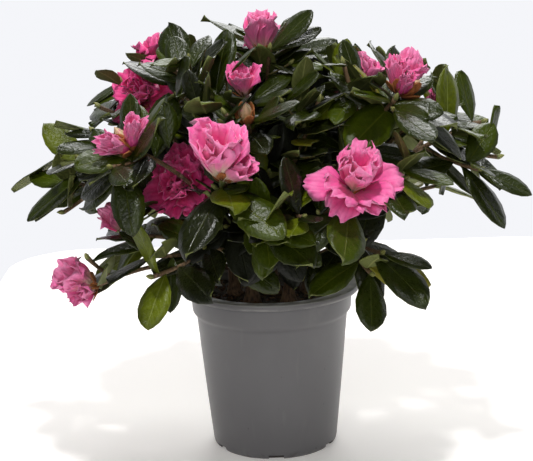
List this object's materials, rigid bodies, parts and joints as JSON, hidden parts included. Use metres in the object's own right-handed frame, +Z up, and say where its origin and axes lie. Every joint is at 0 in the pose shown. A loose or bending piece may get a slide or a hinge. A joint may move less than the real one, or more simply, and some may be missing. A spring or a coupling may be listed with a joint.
{
  "type": "potted rhododendron",
  "caption": "Compact evergreen azalea in bud and flower, a dome of leafy shoots on a clump of woody stems, growing in a round tapered plastic pot of peat.",
  "frame": {"origin": "middle of the pot's flat underside", "axes": "+Z up along the pot's axis; -Y towards the viewer of the picture, +X to the viewer's right"},
  "size_m": [0.3718, 0.3281, 0.3167],
  "materials": {
    "pot": "matt grey moulded plastic",
    "peat": "dark moist peat with bark chips",
    "bark": "thin brown bark",
    "foliage": "glossy dark green leaves",
    "blossom": "soft pink petals"
  },
  "bodies": {
    "root": {"pot": "pot", "peat": "peat", "stem_back": "bark", "stem_front_left": "bark", "stem_front_right": "bark", "stem_left": "bark", "stem_middle": "bark", "stem_right": "bark", "bough_back_centre": "bark", "bough_back_left": "bark", "bough_back_right": "bark", "bough_centre": "bark", "bough_crown_top": "bark", "bough_far_right": "bark", "bough_front_centre": "bark", "bough_front_low": "bark", "bough_heart": "bark", "bough_left_centre": "bark", "bough_left_end": "bark", "bough_left_front": "bark", "bough_left_low": "bark", "bough_low_back_left": "bark", "bough_low_back_right": "bark", "bough_low_front": "bark", "bough_low_left": "bark", "bough_low_right": "bark", "bough_right_end": "bark", "bough_right_front": "bark", "bough_right_top": "bark", "bough_top_back": "bark", "bough_upper_centre": "bark", "bough_upper_left": "bark", "bough_upper_right": "bark", "mass_back_centre": "foliage", "mass_back_left": "foliage", "mass_back_right": "foliage", "mass_centre": "foliage", "mass_crown_top": "foliage", "mass_far_right": "foliage", "mass_front_centre": "foliage", "mass_front_low": "foliage", "mass_heart": "foliage", "mass_left_centre": "foliage", "mass_left_end": "foliage", "mass_left_front": "foliage", "mass_left_low": "foliage", "mass_low_back_left": "foliage", "mass_low_back_right": "foliage", "mass_low_front": "foliage", "mass_low_left": "foliage", "mass_low_right": "foliage", "mass_right_end": "foliage", "mass_right_front": "foliage", "mass_right_top": "foliage", "mass_top_back": "foliage", "mass_upper_centre": "foliage", "mass_upper_left": "foliage", "mass_upper_right": "foliage"}
  },
  "joints": []
}
